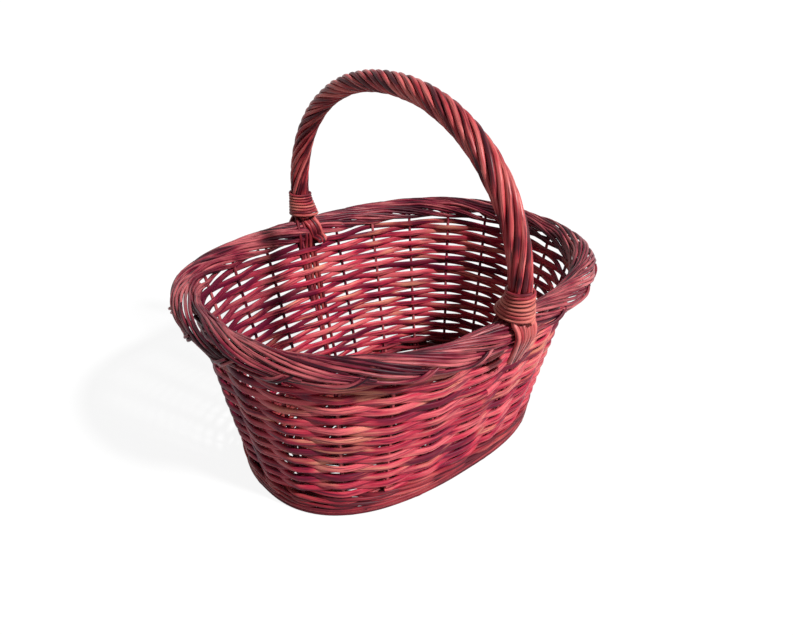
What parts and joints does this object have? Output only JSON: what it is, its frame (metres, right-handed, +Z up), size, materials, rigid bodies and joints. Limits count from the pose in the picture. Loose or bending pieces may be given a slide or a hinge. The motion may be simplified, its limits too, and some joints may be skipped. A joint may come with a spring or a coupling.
{
  "type": "foraging basket",
  "caption": "Oval open-weave willow basket with a flared wall, a rolled border and an arched handle of twisted rods.",
  "frame": {"origin": "on the floor under the middle of the basket", "axes": "+X along the basket's long axis, +Y across it in the plane of the handle, +Z up"},
  "size_m": [0.442, 0.3732, 0.3924],
  "materials": {
    "stake_willow": "dyed willow, satin",
    "siding_willow": "dyed willow, satin",
    "wale_willow": "dyed willow, satin",
    "base_willow": "dyed willow, dull",
    "core_willow": "dyed willow, dull",
    "handle_willow": "dyed willow, satin",
    "binding_willow": "split willow, satin"
  },
  "bodies": {
    "root": {"stake_01": "stake_willow", "stake_02": "stake_willow", "stake_03": "stake_willow", "stake_04": "stake_willow", "stake_05": "stake_willow", "stake_06": "stake_willow", "stake_07": "stake_willow", "stake_08": "stake_willow", "stake_09": "stake_willow", "stake_10": "stake_willow", "stake_11": "stake_willow", "stake_12": "stake_willow", "stake_13": "stake_willow", "stake_14": "stake_willow", "stake_15": "stake_willow", "stake_16": "stake_willow", "stake_17": "stake_willow", "stake_18": "stake_willow", "stake_19": "stake_willow", "stake_20": "stake_willow", "stake_21": "stake_willow", "stake_22": "stake_willow", "stake_23": "stake_willow", "siding_rod_01": "siding_willow", "siding_rod_02": "siding_willow", "siding_rod_03": "siding_willow", "siding_rod_04": "siding_willow", "siding_rod_05": "siding_willow", "siding_rod_06": "siding_willow", "siding_rod_07": "siding_willow", "siding_rod_08": "siding_willow", "siding_rod_09": "siding_willow", "siding_rod_10": "siding_willow", "wale_rod_1": "wale_willow", "wale_rod_2": "wale_willow", "wale_rod_3": "wale_willow", "foot_rod": "wale_willow", "base_cross_stick_1": "base_willow", "base_cross_stick_2": "base_willow", "base_cross_stick_3": "base_willow", "base_cross_stick_4": "base_willow", "base_cross_stick_5": "base_willow", "base_long_stick_1": "base_willow", "base_long_stick_2": "base_willow", "base_long_stick_3": "base_willow", "base_weaver_1": "base_willow", "base_weaver_2": "base_willow", "handle_core": "core_willow", "handle_rod_01": "handle_willow", "handle_rod_02": "handle_willow", "handle_rod_03": "handle_willow", "handle_rod_04": "handle_willow", "handle_rod_05": "handle_willow", "handle_rod_06": "handle_willow", "handle_rod_07": "handle_willow", "handle_rod_08": "handle_willow", "handle_rod_09": "handle_willow", "handle_rod_10": "handle_willow", "binding_near": "binding_willow", "binding_far": "binding_willow"}
  },
  "joints": []
}
